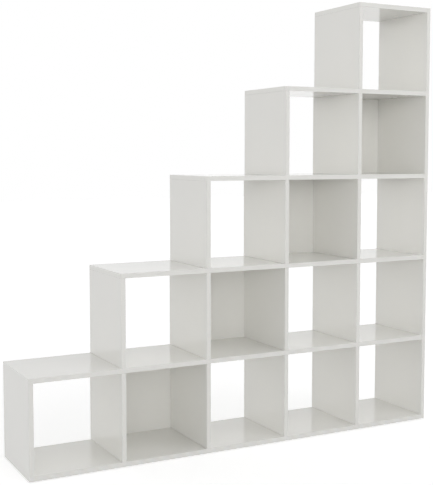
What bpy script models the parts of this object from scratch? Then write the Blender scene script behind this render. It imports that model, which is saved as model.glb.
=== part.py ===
"""Stepped cube bookcase: square open compartments in columns that rise one by one from left to right.

Metres, +Z up, front towards -Y, standing on the plane z = 0 with the origin under the middle of its bounding box.
White coated boards are held by cam connectors and wooden dowels, as a flat-packed bookcase is:
- the horizontal boards run on from step to step, and end at one full-height side panel on the right
- short dividers stand between them, each with a cam and two dowels at either end
- where one divider stands above another, a double-ended bolt goes through the shelf and both cams pull on it
- some compartments are closed by a thin back panel, screwed to the rear edges of the boards round it
Cams, dowels and back-panel screws are one solid with the board that carries them. The bolts are loose pieces.
"""

import math

import bmesh
import bpy
from mathutils import Matrix, Vector

# Compartments and boards
COLUMNS = 5
COMPARTMENT_WIDTH = 0.334
COMPARTMENT_HEIGHT = 0.334
BOARD = 0.018
DEPTH = 0.330
BACK_THICKNESS = 0.006
BACK_CORNER_CLEARANCE = 0.001

# Cam connectors: a disc in the board's face that pulls on the head of a bolt
CAM_DIAMETER = 0.015
CAM_RECESS = 0.0005
CAM_SLOT_MARGIN = 0.003
CAM_SLOT_WIDTH = 0.002
CAM_SLOT_DEPTH = 0.002
BOLT_DIAMETER = 0.0065
BOLT_NECK_DIAMETER = 0.004
BOLT_REACH = 0.034
BOLT_THREAD_DEPTH = 0.011
BOLT_NECK_LENGTH = 0.005
BOLT_HEAD_LENGTH = 0.004

# Wooden dowels
DOWEL_DIAMETER = 0.008
DOWEL_SPACING = 0.192
DOWEL_IN_FACE = 0.012
DOWEL_IN_END = 0.020

# Screws of the back panels
SCREW_DIAMETER = 0.0035
SCREW_HEAD_DIAMETER = 0.007
SCREW_HEAD_HEIGHT = 0.0018
SCREW_SPACING = 0.200

# Nail-on glides under the base
GLIDE_HEIGHT = 0.003
GLIDE_DIAMETER = 0.022
GLIDE_CHAMFER = 0.001
GLIDE_NAIL_DIAMETER = 0.003
GLIDE_NAIL_LENGTH = 0.009
GLIDE_INSET = 0.045

# Clearance between touching pieces, how far a tool reaches past the face it works on, facets of round forms
FIT = 0.0003
OVERSHOOT = 0.002
CAM_SIDES = 12
SHANK_SIDES = 8
GLIDE_SIDES = 12
SMOOTH_ANGLE = math.radians(50)

# Finishes: base colour, roughness and how metallic they are
COATING = ((0.86, 0.853, 0.82), 0.12, 0.0)
ZINC = ((0.62, 0.62, 0.60), 0.35, 1.0)
GLIDE_PLASTIC = ((0.60, 0.60, 0.58), 0.5, 0.0)

# Sizes that follow
PITCH_X = COMPARTMENT_WIDTH + BOARD
PITCH_Z = COMPARTMENT_HEIGHT + BOARD
TOTAL_WIDTH = COLUMNS * PITCH_X + BOARD
SCREW_SHOULDER = FIT + BACK_THICKNESS + FIT
TOTAL_DEPTH = DEPTH + SCREW_SHOULDER + SCREW_HEAD_HEIGHT
FRONT = -TOTAL_DEPTH / 2
REAR = FRONT + DEPTH
MIDDLE = FRONT + DEPTH / 2
BOLT_BORE_RADIUS = BOLT_DIAMETER / 2 + FIT
BOLT_TIP = BOLT_REACH + BOLT_HEAD_LENGTH / 2
DOWEL_RADIUS = DOWEL_DIAMETER / 2

LEFT, RIGHT = Vector((-1, 0, 0)), Vector((1, 0, 0))
DOWN, UP = Vector((0, 0, -1)), Vector((0, 0, 1))
BACKWARDS = Vector((0, 1, 0))


def column_left(column):
    """Left face of the upright at the left of a column, counted from 1; one past the last is the side panel."""
    return -TOTAL_WIDTH / 2 + (column - 1) * PITCH_X


def level_bottom(level):
    """Underside of the horizontal board at a level, counted from 0 at the base."""
    return GLIDE_HEIGHT + level * PITCH_Z


def finish(name, base_color, roughness, metallic):
    """A Principled BSDF material."""
    material = bpy.data.materials.new(name)
    material.use_nodes = True
    shader = material.node_tree.nodes["Principled BSDF"]
    shader.inputs["Base Color"].default_value = (*base_color, 1.0)
    shader.inputs["Roughness"].default_value = roughness
    shader.inputs["Metallic"].default_value = metallic
    return material


def along(origin, direction):
    """Placement whose +Z points in a direction."""
    return Matrix.Translation(origin) @ direction.to_track_quat("Z", "Y").to_matrix().to_4x4()


def add_turned(form, profile, sides, placement):
    """Adds a closed turned solid to a bmesh; the profile is (radius, height) from its low end to its high end."""
    rings = []
    for radius, height in profile:
        ring = []
        for side in range(sides):
            angle = 2 * math.pi * side / sides
            point = Vector((radius * math.cos(angle), radius * math.sin(angle), height))
            ring.append(form.verts.new(placement @ point))
        rings.append(ring)
    for lower, upper in zip(rings, rings[1:]):
        for side in range(sides):
            after = (side + 1) % sides
            form.faces.new((lower[side], lower[after], upper[after], upper[side]))
    form.faces.new(reversed(rings[0]))
    form.faces.new(rings[-1])


def add_box(form, low, high, placement=None):
    """Adds a box between two corners to a bmesh."""
    low, high = Vector(low), Vector(high)
    centred = Matrix.Translation((low + high) / 2) @ Matrix.Diagonal((*(high - low), 1))
    bmesh.ops.create_cube(form, size=1, matrix=(placement or Matrix()) @ centred)


def to_object(name, form, material=None):
    """Turns a bmesh into an object; one without a material is a tool for a Boolean and isn't part of the model."""
    mesh = bpy.data.meshes.new(name)
    form.to_mesh(mesh)
    form.free()
    mesh.shade_smooth()
    mesh.set_sharp_from_angle(angle=SMOOTH_ANGLE)
    thing = bpy.data.objects.new(name, mesh)
    bpy.context.scene.collection.objects.link(thing)
    if material:
        mesh.materials.append(material)
    else:
        thing.hide_render = True
        thing.display_type = "WIRE"
    return thing


class Board:
    """A flat board, with what is fixed in it and what is drilled into it after that."""

    def __init__(self, name, low, high):
        self.name = name
        self.body = bmesh.new()
        self.fixed = bmesh.new()
        self.recesses = bmesh.new()
        self.drilled = bmesh.new()
        add_box(self.body, low, high)

    def drill(self, radius, depth, origin, direction):
        """A bore from a point on a face, to a depth in a direction."""
        profile = ((radius, -OVERSHOOT), (radius, depth))
        add_turned(self.drilled, profile, SHANK_SIDES, along(origin, direction))

    def fix(self, profile, origin, direction):
        """A turned piece that is one with the board."""
        add_turned(self.fixed, profile, SHANK_SIDES, along(origin, direction))

    def add_cam(self, joint, inwards, face):
        """A cam set into a face, round the head of the bolt that comes in from a joint.

        The joint is where the bolt leaves the other board, and inwards points along the bolt.
        """
        centre = joint + inwards * BOLT_REACH
        top = along(centre + face * (BOARD / 2), -face)
        disc = ((CAM_DIAMETER / 2, -OVERSHOOT), (CAM_DIAMETER / 2, CAM_RECESS))
        add_turned(self.recesses, disc, CAM_SIDES, top)
        half_slot = (CAM_DIAMETER / 2 - CAM_SLOT_MARGIN, CAM_SLOT_WIDTH / 2)
        slot_low = (-half_slot[0], -half_slot[1], -OVERSHOOT)
        slot_high = (*half_slot, CAM_RECESS + CAM_SLOT_DEPTH)
        add_box(self.drilled, slot_low, slot_high, top)
        self.drill(BOLT_BORE_RADIUS, BOLT_TIP + FIT, joint, inwards)

    def build(self):
        """Makes the board's object, with its tools."""
        board = to_object(self.name, self.body, finish(f"{self.name}_coating", *COATING))
        steps = (
            ("fixed", "UNION", self.fixed),
            ("recesses", "DIFFERENCE", self.recesses),
            ("drilled", "DIFFERENCE", self.drilled),
        )
        for step, operation, form in steps:
            if form.verts:
                modifier = board.modifiers.new(step, "BOOLEAN")
                modifier.operation = operation
                modifier.solver = "EXACT"
                modifier.object = to_object(f"{self.name}_{step}", form)


def horizontal_names():
    """Names of the horizontal boards, from the base up."""
    return ["base_panel", *(f"shelf_{level}" for level in range(1, COLUMNS)), "top_panel"]


def make_horizontals():
    """Horizontal boards; each starts at the left of the first column that reaches up to it."""
    boards = []
    for level, name in enumerate(horizontal_names()):
        low = (column_left(max(level, 1)), FRONT, level_bottom(level))
        high = (column_left(COLUMNS + 1) - FIT, REAR, level_bottom(level) + BOARD)
        boards.append(Board(name, low, high))
    return boards


def make_dividers():
    """Short uprights at the left of every compartment, by column and row."""
    boards = {}
    for column in range(1, COLUMNS + 1):
        for row in range(1, column + 1):
            left = column_left(column)
            low = (left, FRONT, level_bottom(row - 1) + BOARD + FIT)
            high = (left + BOARD, REAR, level_bottom(row) - FIT)
            boards[column, row] = Board(f"divider_c{column}_r{row}", low, high)
    return boards


def make_side_panel():
    """The full-height panel at the right."""
    left = column_left(COLUMNS + 1)
    top = level_bottom(COLUMNS) + BOARD
    return Board("side_panel", (left, FRONT, level_bottom(0)), (left + BOARD, REAR, top))


def bolt_end():
    """Profile of a bolt's neck and head, with heights from the joint."""
    shank, neck = BOLT_DIAMETER / 2, BOLT_NECK_DIAMETER / 2
    head_start = BOLT_REACH - BOLT_HEAD_LENGTH / 2
    neck_start = head_start - BOLT_NECK_LENGTH
    return [(shank, neck_start), (neck, head_start), (shank, head_start), (shank, BOLT_TIP)]


def make_bolt(name, profile, joint, direction):
    """A loose bolt of the cam connectors."""
    form = bmesh.new()
    add_turned(form, profile, SHANK_SIDES, along(joint, direction))
    to_object(name, form, finish(f"{name}_zinc", *ZINC))


def join_end(name, carrier, held, joint, inwards, face, dowel_axis):
    """Joins the end of a held board to the face of a carrier, with a bolt, a cam and two dowels.

    The joint is the middle of the contact, on the carrier's face; inwards points into the held board.
    """
    carrier.drill(BOLT_BORE_RADIUS, BOLT_THREAD_DEPTH + FIT, joint, -inwards)
    held.add_cam(joint, inwards, face)
    profile = [(BOLT_DIAMETER / 2, -BOLT_THREAD_DEPTH), *bolt_end()]
    make_bolt(name, profile, joint, inwards)
    for offset in (-DOWEL_SPACING / 2, DOWEL_SPACING / 2):
        place = joint + dowel_axis * offset
        carrier.drill(DOWEL_RADIUS + FIT, DOWEL_IN_FACE + FIT, place, -inwards)
        held.fix(((DOWEL_RADIUS, -DOWEL_IN_END), (DOWEL_RADIUS, DOWEL_IN_FACE)), place, -inwards)


def join_through(name, shelf, lower, upper, joint):
    """Joins a divider below a shelf to the one above it; the joint is in the middle of the shelf's underside."""
    top = joint + UP * BOARD
    lower.add_cam(joint, DOWN, RIGHT)
    upper.add_cam(top, UP, RIGHT)
    shelf.drill(BOLT_BORE_RADIUS, BOARD + OVERSHOOT, joint, UP)
    upper_end = [(radius, height + BOARD) for radius, height in bolt_end()]
    lower_end = [(radius, -height) for radius, height in reversed(bolt_end())]
    make_bolt(name, lower_end + upper_end, joint, UP)
    for offset in (-DOWEL_SPACING / 2, DOWEL_SPACING / 2):
        place = joint + BACKWARDS * offset
        shelf.drill(DOWEL_RADIUS + FIT, BOARD + OVERSHOOT, place, UP)
        upper.drill(DOWEL_RADIUS + FIT, DOWEL_IN_END + FIT, place + UP * BOARD, UP)
        lower.fix(((DOWEL_RADIUS, -DOWEL_IN_END), (DOWEL_RADIUS, BOARD + DOWEL_IN_END)), place, UP)


def join_dividers(horizontals, dividers):
    """Joins every divider to the horizontal boards below and above it."""
    for (column, row), divider in dividers.items():
        middle = column_left(column) + BOARD / 2
        if row == 1:
            joint = Vector((middle, MIDDLE, level_bottom(0) + BOARD))
            join_end(f"bolt_base_c{column}", horizontals[0], divider, joint, UP, RIGHT, BACKWARDS)
        joint = Vector((middle, MIDDLE, level_bottom(row)))
        if row == column:
            join_end(f"bolt_step_c{column}", horizontals[row], divider, joint, DOWN, RIGHT, BACKWARDS)
        else:
            upper = dividers[column, row + 1]
            join_through(f"through_bolt_c{column}_s{row}", horizontals[row], divider, upper, joint)


def join_side_panel(horizontals, side_panel):
    """Joins the right end of every horizontal board to the side panel, with the cams on the undersides."""
    for level, board in enumerate(horizontals):
        joint = Vector((column_left(COLUMNS + 1), MIDDLE, level_bottom(level) + BOARD / 2))
        join_end(f"bolt_side_l{level}", side_panel, board, joint, LEFT, DOWN, BACKWARDS)


def back_panel_body(left, right, bottom, top):
    """Back panel over a compartment and the boards round it.

    The panels meet corner to corner on the shelves, so the two corners where they meet are cut off to clear.
    """
    cut = BOARD + BACK_CORNER_CLEARANCE
    outline = (
        (left + cut, bottom),
        (right, bottom),
        (right, top - cut),
        (right - cut, top),
        (left, top),
        (left, bottom + cut),
    )
    form = bmesh.new()
    front_face = form.faces.new([form.verts.new((x, REAR + FIT, z)) for x, z in outline])
    extruded = bmesh.ops.extrude_face_region(form, geom=[front_face])
    moved = [item for item in extruded["geom"] if isinstance(item, bmesh.types.BMVert)]
    bmesh.ops.translate(form, verts=moved, vec=BACKWARDS * BACK_THICKNESS)
    bmesh.ops.recalc_face_normals(form, faces=form.faces)
    return form


def make_back_panel(name, around, left, right, bottom, top):
    """A back panel, with its screws, which belong to the four boards around it: left, right, below and above."""
    left_board, right_board, lower_board, upper_board = around
    middle_x, middle_z = (left + right) / 2, (bottom + top) / 2
    places = [
        (left_board, left + BOARD / 2, middle_z),
        (right_board, right - BOARD / 2, middle_z),
    ]
    for offset in (-SCREW_SPACING / 2, SCREW_SPACING / 2):
        places.append((lower_board, middle_x + offset, bottom + BOARD / 2))
        places.append((upper_board, middle_x + offset, top - BOARD / 2))

    shank, head = SCREW_DIAMETER / 2, SCREW_HEAD_DIAMETER / 2
    screw = (
        (shank, -OVERSHOOT),
        (shank, SCREW_SHOULDER),
        (head, SCREW_SHOULDER),
        (head, SCREW_SHOULDER + SCREW_HEAD_HEIGHT),
    )
    hole = ((shank + FIT, -OVERSHOOT), (shank + FIT, SCREW_SHOULDER + OVERSHOOT))
    holes = bmesh.new()
    for board, x, z in places:
        place = Vector((x, REAR, z))
        board.fix(screw, place, BACKWARDS)
        add_turned(holes, hole, SHANK_SIDES, along(place, BACKWARDS))

    panel = to_object(name, back_panel_body(left, right, bottom, top), finish(f"{name}_coating", *COATING))
    modifier = panel.modifiers.new("screw_holes", "BOOLEAN")
    modifier.operation = "DIFFERENCE"
    modifier.solver = "EXACT"
    modifier.object = to_object(f"{name}_screw_holes", holes)


def make_back_panels(horizontals, dividers, side_panel):
    """Back panels, one in the second row from the top of every column but the first."""
    for column in range(2, COLUMNS + 1):
        row = column - 1
        right_board = dividers.get((column + 1, row), side_panel)
        around = (dividers[column, row], right_board, horizontals[row - 1], horizontals[row])
        left, right = column_left(column), column_left(column + 1) + BOARD
        bottom, top = level_bottom(row - 1), level_bottom(row) + BOARD
        make_back_panel(f"back_panel_c{column}_r{row}", around, left, right, bottom, top)


def make_glides(base):
    """Nail-on glides: near both ends of the base, and under the two dividers in the middle of it."""
    ends = (-TOTAL_WIDTH / 2 + GLIDE_INSET, TOTAL_WIDTH / 2 - GLIDE_INSET)
    inner = (COLUMNS // 2 + 1, COLUMNS - COLUMNS // 2 + 1)
    across = [ends[0], *(column_left(column) + BOARD / 2 for column in inner), ends[1]]
    radius, nail = GLIDE_DIAMETER / 2, GLIDE_NAIL_DIAMETER / 2
    shoulder = GLIDE_HEIGHT - FIT
    profile = (
        (radius - GLIDE_CHAMFER, 0),
        (radius, GLIDE_CHAMFER),
        (radius, shoulder),
        (nail, shoulder),
        (nail, GLIDE_HEIGHT + GLIDE_NAIL_LENGTH),
    )
    for number, x in enumerate(across, start=1):
        for end, y in (("front", FRONT + GLIDE_INSET), ("rear", REAR - GLIDE_INSET)):
            form = bmesh.new()
            add_turned(form, profile, GLIDE_SIDES, along(Vector((x, y, 0)), UP))
            name = f"glide_{number}_{end}"
            to_object(name, form, finish(f"{name}_plastic", *GLIDE_PLASTIC))
            seat = Vector((x, y, GLIDE_HEIGHT))
            bore = ((nail + FIT, -OVERSHOOT), (nail + FIT, GLIDE_NAIL_LENGTH + FIT))
            add_turned(base.drilled, bore, GLIDE_SIDES, along(seat, UP))


def main():
    for thing in list(bpy.data.objects):
        bpy.data.objects.remove(thing, do_unlink=True)
    horizontals = make_horizontals()
    dividers = make_dividers()
    side_panel = make_side_panel()
    join_dividers(horizontals, dividers)
    join_side_panel(horizontals, side_panel)
    make_back_panels(horizontals, dividers, side_panel)
    make_glides(horizontals[0])
    for board in (*horizontals, *dividers.values(), side_panel):
        board.build()


main()
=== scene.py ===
"""Looks of the stepped cube bookcase: semi-gloss white boards on a plain pale floor, in soft even light.

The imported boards, back panels, bolts and glides stay and get their finishes here. New pieces are the
plastic caps over the cams and the screws behind the back panels.
"""

import math

import bmesh
import bpy
from mathutils import Matrix, Vector


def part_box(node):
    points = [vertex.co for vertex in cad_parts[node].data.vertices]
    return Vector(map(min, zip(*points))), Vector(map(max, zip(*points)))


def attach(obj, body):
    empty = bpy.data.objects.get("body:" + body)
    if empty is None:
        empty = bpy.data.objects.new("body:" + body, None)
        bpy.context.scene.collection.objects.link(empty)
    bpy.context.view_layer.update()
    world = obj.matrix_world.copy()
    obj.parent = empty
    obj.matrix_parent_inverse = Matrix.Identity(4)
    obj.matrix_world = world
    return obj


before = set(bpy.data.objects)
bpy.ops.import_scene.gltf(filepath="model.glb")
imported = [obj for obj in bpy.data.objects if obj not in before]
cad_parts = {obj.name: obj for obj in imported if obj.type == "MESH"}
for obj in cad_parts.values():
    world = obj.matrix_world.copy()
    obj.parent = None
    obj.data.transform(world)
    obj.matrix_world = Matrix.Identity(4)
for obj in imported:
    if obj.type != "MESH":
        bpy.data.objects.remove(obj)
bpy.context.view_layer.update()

# Camera, in metres, degrees and millimetres: it stands to the left of the front, turned slightly down
CAMERA_PLACE = (-1.8347, -3.3845, 1.1562)
CAMERA_TURN = 27.760
CAMERA_TILT = -4.285
CAMERA_LENS = 70.596
CAMERA_SHIFT = -0.0327

# Soft lights in the sky: degrees round from the front to the right, degrees up, strength, and focus,
# which is higher for a narrower light
LIGHTS = {
    "front_left": (-30, 3, 7.0, 40),
    "front_right": (45, 5, 3.7, 10),
    "front_high": (0, 35, 0.3, 10),
    "rear": (205, 15, 1.1, 10),
}
SKY_LIGHT = 0.51
SKY_SEEN = 1.0

# A soft lamp for the top of the tall columns
LAMP_PLACE = (-5.6, -2.6, 1.0)
LAMP_TARGET = (0.5, 0.0, 1.80)
LAMP_POWER = 70
LAMP_RADIUS = 0.6
LAMP_CONE = math.radians(22)

FLOOR_COLOR = 0.70
FLOOR_LIFT = 0.54
FLOOR_SIZE = 40.0

# Boards, as they were cut: an edge band is glued on their front, rear and left end edges, and meets the
# coating of their faces in a seam
BOARD = 0.018
BOARD_DEPTH = 0.330
EDGE_BAND = 0.0008
BEVEL = 0.00025
BEVEL_STEPS = 2
BEVEL_ANGLE = math.radians(60)

# Cam caps: they cover the cams, whose middles are this far from the end of the board they sit in
CAM_FROM_END = 0.034
CAP_DIAMETER = 0.0175
CAP_THICKNESS = 0.0008
CAP_EASE = 0.0004
CAP_PLUG_DIAMETER = 0.014
CAP_PLUG_DEPTH = 0.0004

# Screws of the back panels
SCREW_HEAD_DIAMETER = 0.0074
SCREW_HEAD_HEIGHT = 0.0027
SCREW_RIM_HEIGHT = 0.00108
SCREW_SPACING = 0.200
DRIVE_WIDTH = 0.0009
DRIVE_LENGTH = 0.0042
DRIVE_DEPTH = 0.0008

# Turned forms: a cap or a screw head stays just off the face that it lies on
TURNED_SIDES = 32
ROUND_STEPS = 6
SHARP_ANGLE = math.radians(50)
OFF_FACE = 0.00005

# In all finishes, a gloss is a roughness, shades are the least and the most of the base colour that shows,
# a grain is how far apart the patches of a pattern are, and a height is how far a pattern stands proud.
# Noise is plain, cloudy or fine by its detail, and most of its values lie from NOISE_LOW to NOISE_HIGH.
PLAIN = 1.0
CLOUDY = 2.0
FINE = 3.0
NOISE_LOW = 0.3
NOISE_HIGH = 0.7

# Coating of the boards
COATING_COLOR = (0.86, 0.853, 0.82)
BOARD_SHADES = (0.992, 1.008)
BOARD_SHADE_GRAIN = 0.30
BOARD_GLOSS = 0.07
BOARD_GLOSSES = (0.05, 0.09)
BOARD_GLOSS_GRAIN = 0.08
BOARD_WAVE_GRAIN = 0.06
BOARD_WAVE_HEIGHT = 0.00002
PEEL_GRAIN = 0.0016
PEEL_HEIGHT = 0.000002
# Painted shade: the front edge bands are darkened to this share of the coating colour, so the fronts look
# less lit; the rear bands keep the coating colour
FRONT_BAND_PAINTED_SHADE = 0.76
BAND_ADDED_GLOSS = 0.05
SEAM_WIDTH = 0.00025
SEAM_DEPTH = 0.00005
SEAM_SHADE = 0.75

# Coating of the back panels, whose rear skin is darker and duller and shows more of the fibres
BACK_SHADES = (0.99, 1.01)
BACK_SHADE_GRAIN = 0.20
BACK_GLOSS = 0.24
BACK_GLOSSES = (0.21, 0.27)
BACK_GLOSS_GRAIN = 0.06
BACK_WAVE_GRAIN = 0.05
BACK_WAVE_HEIGHT = 0.00010
FIBRE_GRAIN = 0.0012
FIBRE_HEIGHT = 0.00002
FIBRES_IN_FRONT = 0.15
REAR_SKIN = 0.0005
REAR_DARKER = 0.04
REAR_ADDED_GLOSS = 0.25

# Zinc of the bolts and screws
ZINC_COLOR = (0.62, 0.62, 0.60)
ZINC_SHADES = (0.85, 1.0)
ZINC_SHADE_GRAIN = 0.004
ZINC_GLOSS = 0.35
ZINC_GLOSSES = (0.27, 0.42)
ZINC_GLOSS_GRAIN = 0.0015
ZINC_GRAIN = 0.0006
ZINC_HEIGHT = 0.000008

# Plastic of the glides and caps
GLIDE_COLOR = (0.60, 0.60, 0.58)
GLIDE_GLOSS = 0.42
GLIDE_HEIGHT = 0.00001
CAP_COLOR = (0.855, 0.848, 0.815)
CAP_GLOSS = 0.15
CAP_HEIGHT = 0.000002
PLASTIC_SHADES = (0.97, 1.0)
PLASTIC_SHADE_GRAIN = 0.01
PLASTIC_GLOSS_RATIOS = (0.86, 1.14)
PLASTIC_GLOSS_GRAIN = 0.002
PLASTIC_GRAIN = 0.0005


class Look:
    """A material, with patterns laid over it in the object's own coordinates, those of the frame."""

    def __init__(self, name, color, gloss, metallic=0.0):
        self.material = bpy.data.materials.new(name)
        self.material.use_nodes = True
        self.tree = self.material.node_tree
        self.shader = self.tree.nodes["Principled BSDF"]
        self.shader.inputs["Base Color"].default_value = (*color, 1)
        self.shader.inputs["Roughness"].default_value = gloss
        self.shader.inputs["Metallic"].default_value = metallic
        self.color = color
        self.place = self.add("ShaderNodeTexCoord").outputs["Object"]

    def add(self, kind, inputs=None, **settings):
        """A node with its settings; an input is linked to an output, or set to a value."""
        node = self.tree.nodes.new(kind)
        for setting, value in settings.items():
            setattr(node, setting, value)
        for socket, value in (inputs or {}).items():
            if isinstance(value, bpy.types.NodeSocket):
                self.tree.links.new(value, node.inputs[socket])
            else:
                node.inputs[socket].default_value = value
        return node

    def math(self, operation, *values):
        """The output of a sum, product or comparison of values and other outputs."""
        return self.add("ShaderNodeMath", dict(enumerate(values)), operation=operation).outputs[0]

    def noise(self, grain, detail=PLAIN):
        """Noise with a grain in metres."""
        inputs = {"Vector": self.place, "Scale": 1 / grain, "Detail": detail}
        return self.add("ShaderNodeTexNoise", inputs).outputs["Fac"]

    def spread(self, value, start, end, low, high):
        """A value that goes from start to end while another goes from low to high."""
        inputs = {"Value": value, "From Min": low, "From Max": high, "To Min": start, "To Max": end}
        return self.add("ShaderNodeMapRange", inputs).outputs["Result"]

    def vary(self, least, most, grain, detail=CLOUDY):
        """A value that drifts between two others from patch to patch."""
        return self.spread(self.noise(grain, detail), least, most, NOISE_LOW, NOISE_HIGH)

    def shade(self, factor):
        """Multiplies the base colour by a factor that varies over the surface."""
        scaled = self.add("ShaderNodeVectorMath", {0: self.color, "Scale": factor}, operation="SCALE")
        self.tree.links.new(scaled.outputs["Vector"], self.shader.inputs["Base Color"])

    def gloss(self, roughness):
        """Sets a roughness that varies over the surface."""
        self.tree.links.new(roughness, self.shader.inputs["Roughness"])

    def relief(self, *layers):
        """Raises the surface by patterns from 0 to 1, each with its height in metres."""
        normal = None
        for pattern, height in layers:
            inputs = {"Height": pattern, "Distance": height, "Strength": 1.0}
            if normal:
                inputs["Normal"] = normal
            normal = self.add("ShaderNodeBump", inputs).outputs["Normal"]
        self.tree.links.new(normal, self.shader.inputs["Normal"])


def board_coating(name, middle_depth, left_end=None):
    """Semi-gloss white board with its front and rear edge bands, and that of its left end if it is given.
    The front bands are darkened by a painted shade.
    """
    look = Look(name, COATING_COLOR, BOARD_GLOSS)
    axes = look.add("ShaderNodeSeparateXYZ", {0: look.place}).outputs
    behind_middle = look.math("SUBTRACT", axes["Y"], middle_depth)
    off_middle = look.math("ABSOLUTE", behind_middle)
    from_seam = look.math("SUBTRACT", BOARD_DEPTH / 2 - EDGE_BAND, off_middle)
    band = look.math("LESS_THAN", from_seam, 0)
    front_band_painted_shade_mask = look.math("LESS_THAN", behind_middle, EDGE_BAND - BOARD_DEPTH / 2)
    if left_end is not None:
        from_left_seam = look.math("SUBTRACT", axes["X"], left_end + EDGE_BAND)
        from_seam = look.math("MINIMUM", from_seam, from_left_seam)
    seam = look.spread(look.math("ABSOLUTE", from_seam), 1, 0, 0, SEAM_WIDTH)

    shade = look.vary(*BOARD_SHADES, BOARD_SHADE_GRAIN)
    # Painted shade on the front edge bands, which darkens them below the coating colour
    shade = look.math("MULTIPLY", shade, look.spread(front_band_painted_shade_mask, 1, FRONT_BAND_PAINTED_SHADE, 0, 1))
    look.shade(look.math("MULTIPLY", shade, look.spread(seam, 1, SEAM_SHADE, 0, 1)))
    gloss = look.vary(*BOARD_GLOSSES, BOARD_GLOSS_GRAIN, FINE)
    look.gloss(look.math("ADD", gloss, look.math("MULTIPLY", band, BAND_ADDED_GLOSS)))
    waves = look.noise(BOARD_WAVE_GRAIN)
    peel = look.noise(PEEL_GRAIN)
    beside_seam = look.math("SUBTRACT", 1, seam)
    look.relief((waves, BOARD_WAVE_HEIGHT), (peel, PEEL_HEIGHT), (beside_seam, SEAM_DEPTH))
    return look.material


def back_coating(name, rear_face):
    """Thin fibreboard, coated white in front and painted thinner behind, with its fibres in the paint."""
    look = Look(name, COATING_COLOR, BACK_GLOSS)
    depth = look.add("ShaderNodeSeparateXYZ", {0: look.place}).outputs["Y"]
    behind = look.math("GREATER_THAN", depth, rear_face - REAR_SKIN)
    shade = look.vary(*BACK_SHADES, BACK_SHADE_GRAIN)
    rear_shade = look.math("SUBTRACT", 1, look.math("MULTIPLY", behind, REAR_DARKER))
    look.shade(look.math("MULTIPLY", shade, rear_shade))
    gloss = look.vary(*BACK_GLOSSES, BACK_GLOSS_GRAIN, FINE)
    look.gloss(look.math("ADD", gloss, look.math("MULTIPLY", behind, REAR_ADDED_GLOSS)))
    waves = look.noise(BACK_WAVE_GRAIN)
    fibres = look.noise(FIBRE_GRAIN, FINE)
    fibres = look.math("MULTIPLY", fibres, look.math("ADD", FIBRES_IN_FRONT, behind))
    look.relief((waves, BACK_WAVE_HEIGHT), (fibres, FIBRE_HEIGHT))
    return look.material


def zinc(name):
    """Zinc-plated steel, with a faint cloudy plating."""
    look = Look(name, ZINC_COLOR, ZINC_GLOSS, 1.0)
    look.shade(look.vary(*ZINC_SHADES, ZINC_SHADE_GRAIN, FINE))
    look.gloss(look.vary(*ZINC_GLOSSES, ZINC_GLOSS_GRAIN))
    look.relief((look.noise(ZINC_GRAIN), ZINC_HEIGHT))
    return look.material


def plastic(name, color, gloss, height):
    """Moulded plastic with a fine texture of a given height."""
    look = Look(name, color, gloss)
    look.shade(look.vary(*PLASTIC_SHADES, PLASTIC_SHADE_GRAIN))
    least, most = (gloss * ratio for ratio in PLASTIC_GLOSS_RATIOS)
    look.gloss(look.vary(least, most, PLASTIC_GLOSS_GRAIN))
    look.relief((look.noise(PLASTIC_GRAIN), height))
    return look.material


def nodes_named(start):
    """Names of the frame's nodes that start with a word, in order."""
    return sorted(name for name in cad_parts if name.startswith(start))


def horizontal_names():
    """Names of the horizontal boards, from the bottom up."""
    return ["base_panel", *nodes_named("shelf_"), "top_panel"]


def upright_names():
    return [*nodes_named("divider_"), "side_panel"]


def board_middle():
    """Depth halfway between the front and rear edges of the boards."""
    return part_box("side_panel")[0][1] + BOARD_DEPTH / 2


def dress(names, material):
    """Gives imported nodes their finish."""
    for name in names:
        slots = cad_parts[name].data.materials
        slots.clear()
        slots.append(material)


def dress_nodes():
    """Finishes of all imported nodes; a board whose left end shows has a coating of its own."""
    middle = board_middle()
    dress(upright_names(), board_coating("upright_coating", middle))
    for name in horizontal_names():
        left_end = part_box(name)[0][0]
        dress([name], board_coating(f"{name}_coating", middle, left_end))
    for name in nodes_named("back_panel_"):
        rear_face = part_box(name)[1][1]
        dress([name], back_coating(f"{name}_coating", rear_face))
    dress([*nodes_named("bolt_"), *nodes_named("through_bolt_")], zinc("bolt_zinc"))
    dress(nodes_named("glide_"), plastic("glide_plastic", GLIDE_COLOR, GLIDE_GLOSS, GLIDE_HEIGHT))


def soften_edges():
    """Eases the sharp edges of the boards, as an edge band is scraped after it is glued on."""
    for name in [*horizontal_names(), *upright_names(), *nodes_named("back_panel_")]:
        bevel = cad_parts[name].modifiers.new("eased_edges", "BEVEL")
        bevel.width = BEVEL
        bevel.segments = BEVEL_STEPS
        bevel.limit_method = "ANGLE"
        bevel.angle_limit = BEVEL_ANGLE
        bevel.use_clamp_overlap = False


def turned_mesh(name, profile):
    """A closed turned form about Z; the profile is (radius, height) and starts and ends on the axis."""
    form = bmesh.new()
    rings = []
    for radius, height in profile:
        ring = []
        for side in range(TURNED_SIDES if radius else 1):
            angle = 2 * math.pi * side / TURNED_SIDES
            ring.append(form.verts.new((radius * math.cos(angle), radius * math.sin(angle), height)))
        rings.append(ring)
    for lower, upper in zip(rings, rings[1:]):
        for side in range(TURNED_SIDES):
            after = (side + 1) % TURNED_SIDES
            turns = ((lower, side), (lower, after), (upper, after), (upper, side))
            corners = [ring[turn % len(ring)] for ring, turn in turns]
            form.faces.new(dict.fromkeys(corners))
    mesh = bpy.data.meshes.new(name)
    form.to_mesh(mesh)
    form.free()
    mesh.shade_smooth()
    mesh.set_sharp_from_angle(angle=SHARP_ANGLE)
    return mesh


def rounded(outer, inner, low, high):
    """Profile of a round, from its outer radius at one height in to its inner radius at another."""
    profile = []
    for step in range(ROUND_STEPS):
        angle = math.pi / 2 * step / ROUND_STEPS
        radius = inner + (outer - inner) * math.cos(angle)
        profile.append((radius, low + (high - low) * math.sin(angle)))
    return [*profile, (inner, high)]


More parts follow.
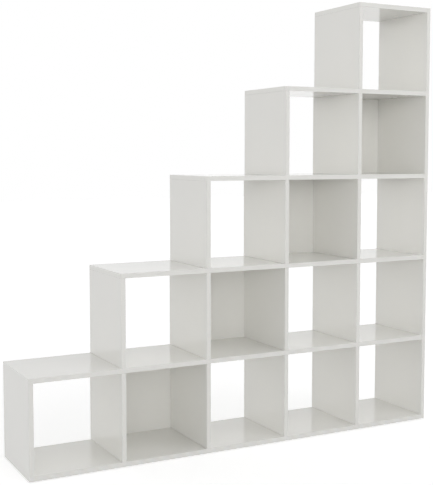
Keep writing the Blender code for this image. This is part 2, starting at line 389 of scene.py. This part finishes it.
def add_piece(name, mesh, place, facing):
    """A piece at a place, with its +Z turned to where it faces; it moves with the bookcase."""
    piece = bpy.data.objects.new(name, mesh)
    bpy.context.scene.collection.objects.link(piece)
    turn = Vector(facing).to_track_quat("Z", "Y").to_matrix().to_4x4()
    piece.matrix_world = Matrix.Translation(place) @ turn
    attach(piece, "root")


def cap_mesh():
    """Flat cap with an eased rim, and a plug that sits in the recess of the cam."""
    plug = CAP_PLUG_DIAMETER / 2
    rim = CAP_DIAMETER / 2
    flat = rim - CAP_EASE
    mesh = turned_mesh("cam_cap", [
        (0, -CAP_PLUG_DEPTH),
        (plug, -CAP_PLUG_DEPTH),
        (plug, OFF_FACE),
        (rim, OFF_FACE),
        *rounded(rim, flat, CAP_THICKNESS - CAP_EASE, CAP_THICKNESS),
        (flat - CAP_EASE, CAP_THICKNESS),
        (0, CAP_THICKNESS),
    ])
    mesh.materials.append(plastic("cap_plastic", CAP_COLOR, CAP_GLOSS, CAP_HEIGHT))
    return mesh


def add_cam_caps():
    """A cap over every cam: at both ends of each divider, and under each horizontal board's right end."""
    mesh = cap_mesh()
    middle = board_middle()
    levels = [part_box(name)[0][2] for name in horizontal_names()]
    for name in nodes_named("divider_"):
        column, row = (int(word[1:]) for word in name.split("_")[1:])
        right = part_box(name)[1][0]
        low = levels[row - 1] + BOARD + CAM_FROM_END
        high = levels[row] - CAM_FROM_END
        for end, height in (("low", low), ("high", high)):
            place = (right, middle, height)
            add_piece(f"cam_cap_c{column}_r{row}_{end}", mesh, place, (1, 0, 0))
    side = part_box("side_panel")[0][0]
    for number, level in enumerate(levels):
        place = (side - CAM_FROM_END, middle, level)
        add_piece(f"cam_cap_l{number}", mesh, place, (0, 0, -1))


def carved(mesh, tool):
    """A mesh with another one cut out of it."""
    things = [bpy.data.objects.new(form.name, form) for form in (mesh, tool)]
    for thing in things:
        bpy.context.scene.collection.objects.link(thing)
    kept, cutter = things
    cut = kept.modifiers.new("cut", "BOOLEAN")
    cut.operation = "DIFFERENCE"
    cut.solver = "EXACT"
    cut.object = cutter
    evaluated = kept.evaluated_get(bpy.context.evaluated_depsgraph_get())
    result = bpy.data.meshes.new_from_object(evaluated)
    for thing in things:
        bpy.data.objects.remove(thing)
    return result


def screw_mesh():
    """Pan head of a screw, with a cross drive."""
    radius = SCREW_HEAD_DIAMETER / 2
    head = turned_mesh("back_screw", [
        (0, OFF_FACE),
        (radius, OFF_FACE),
        *rounded(radius, 0, SCREW_RIM_HEIGHT, SCREW_HEAD_HEIGHT),
    ])
    cross = bmesh.new()
    top = Matrix.Translation((0, 0, SCREW_HEAD_HEIGHT))
    for length, width in ((DRIVE_LENGTH, DRIVE_WIDTH), (DRIVE_WIDTH, DRIVE_LENGTH)):
        size = Matrix.Diagonal((length, width, 2 * DRIVE_DEPTH, 1))
        bmesh.ops.create_cube(cross, size=1, matrix=top @ size)
    tool = bpy.data.meshes.new("screw_drive")
    cross.to_mesh(tool)
    cross.free()
    mesh = carved(head, tool)
    mesh.materials.clear()
    mesh.materials.append(zinc("screw_zinc"))
    return mesh


def add_back_screws():
    """Six screws for each back panel: one in each upright beside it, two in each board above and below."""
    mesh = screw_mesh()
    for panel in nodes_named("back_panel_"):
        (left, _, bottom), (right, rear, top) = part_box(panel)
        middle_x = (left + right) / 2
        middle_z = (bottom + top) / 2
        places = [(left + BOARD / 2, middle_z), (right - BOARD / 2, middle_z)]
        for offset in (-SCREW_SPACING / 2, SCREW_SPACING / 2):
            places.append((middle_x + offset, bottom + BOARD / 2))
            places.append((middle_x + offset, top - BOARD / 2))
        name = panel.replace("back_panel", "back_screw")
        for number, (x, z) in enumerate(places, start=1):
            add_piece(f"{name}_{number}", mesh, (x, rear, z), (0, 1, 0))


def make_camera():
    camera = bpy.data.objects.new("camera", bpy.data.cameras.new("camera"))
    bpy.context.scene.collection.objects.link(camera)
    camera.location = CAMERA_PLACE
    camera.rotation_euler = (math.radians(90 + CAMERA_TILT), 0, -math.radians(CAMERA_TURN))
    camera.data.lens = CAMERA_LENS
    camera.data.shift_y = CAMERA_SHIFT
    bpy.context.scene.camera = camera


def seen_or_lit(tree, lit, seen):
    """Mixes two shaders: one for camera, glossy and transmission rays, and one for all other rays."""
    path = tree.nodes.new("ShaderNodeLightPath").outputs
    seen_at_all = path["Is Camera Ray"]
    for ray in ("Is Glossy Ray", "Is Transmission Ray"):
        either = tree.nodes.new("ShaderNodeMath")
        either.operation = "MAXIMUM"
        tree.links.new(seen_at_all, either.inputs[0])
        tree.links.new(path[ray], either.inputs[1])
        seen_at_all = either.outputs[0]
    mix = tree.nodes.new("ShaderNodeMixShader")
    tree.links.new(seen_at_all, mix.inputs[0])
    tree.links.new(lit.outputs[0], mix.inputs[1])
    tree.links.new(seen.outputs[0], mix.inputs[2])
    return mix


def soft_light(tree, turn, rise, strength, focus):
    """A soft light in the sky: the cosine of the angle to its direction, raised to its focus."""
    turn = math.radians(turn)
    rise = math.radians(rise)
    place = tree.nodes.new("ShaderNodeTexCoord").outputs["Generated"]
    facing = tree.nodes.new("ShaderNodeVectorMath")
    facing.operation = "DOT_PRODUCT"
    facing.inputs[1].default_value = (
        math.sin(turn) * math.cos(rise),
        -math.cos(turn) * math.cos(rise),
        math.sin(rise),
    )
    tree.links.new(place, facing.inputs[0])
    value = facing.outputs["Value"]
    for operation, number in (("MAXIMUM", 0), ("POWER", focus), ("MULTIPLY", strength)):
        node = tree.nodes.new("ShaderNodeMath")
        node.operation = operation
        node.inputs[1].default_value = number
        tree.links.new(value, node.inputs[0])
        value = node.outputs[0]
    return value


def make_sky():
    """An even sky with soft lights in it; the camera and the glossy boards see it plain white."""
    world = bpy.data.worlds.new("sky")
    bpy.context.scene.world = world
    world.use_nodes = True
    tree = world.node_tree
    lit = tree.nodes["Background"]
    lit.inputs["Color"].default_value = (1, 1, 1, 1)
    total = None
    for light in LIGHTS.values():
        both = tree.nodes.new("ShaderNodeMath")
        both.inputs[0].default_value = SKY_LIGHT
        if total:
            tree.links.new(total, both.inputs[0])
        tree.links.new(soft_light(tree, *light), both.inputs[1])
        total = both.outputs[0]
    tree.links.new(total, lit.inputs["Strength"])
    seen = tree.nodes.new("ShaderNodeBackground")
    seen.inputs["Color"].default_value = (1, 1, 1, 1)
    seen.inputs["Strength"].default_value = SKY_SEEN
    mix = seen_or_lit(tree, lit, seen)
    tree.links.new(mix.outputs[0], tree.nodes["World Output"].inputs["Surface"])


def make_lamp():
    """Soft spot of light on the top of the tall columns, which fades out lower down."""
    light = bpy.data.lights.new("top_lamp", "SPOT")
    light.energy = LAMP_POWER
    light.shadow_soft_size = LAMP_RADIUS
    light.spot_size = LAMP_CONE
    light.spot_blend = 1.0
    lamp = bpy.data.objects.new("top_lamp", light)
    bpy.context.scene.collection.objects.link(lamp)
    lamp.location = LAMP_PLACE
    aim = Vector(LAMP_TARGET) - Vector(LAMP_PLACE)
    lamp.rotation_euler = aim.to_track_quat("-Z", "Y").to_euler()


def floor_material():
    """Pale matte floor; the camera and the glossy boards see it lifted to white where it is fully lit."""
    material = bpy.data.materials.new("pale_floor")
    material.use_nodes = True
    tree = material.node_tree
    tree.nodes.remove(tree.nodes["Principled BSDF"])
    matte = tree.nodes.new("ShaderNodeBsdfDiffuse")
    matte.inputs["Color"].default_value = (FLOOR_COLOR, FLOOR_COLOR, FLOOR_COLOR, 1)
    lift = tree.nodes.new("ShaderNodeEmission")
    lift.inputs["Strength"].default_value = FLOOR_LIFT
    lifted = tree.nodes.new("ShaderNodeAddShader")
    tree.links.new(matte.outputs[0], lifted.inputs[0])
    tree.links.new(lift.outputs[0], lifted.inputs[1])
    mix = seen_or_lit(tree, matte, lifted)
    tree.links.new(mix.outputs[0], tree.nodes["Material Output"].inputs["Surface"])
    return material


def make_floor():
    """A plain floor that keeps the bookcase's shadow."""
    form = bmesh.new()
    bmesh.ops.create_grid(form, x_segments=1, y_segments=1, size=FLOOR_SIZE / 2)
    mesh = bpy.data.meshes.new("floor")
    form.to_mesh(mesh)
    form.free()
    mesh.materials.append(floor_material())
    floor = bpy.data.objects.new("floor", mesh)
    bpy.context.scene.collection.objects.link(floor)


dress_nodes()
soften_edges()
add_cam_caps()
add_back_screws()
make_camera()
make_sky()
make_lamp()
make_floor()
bpy.context.scene.view_settings.view_transform = "Standard"
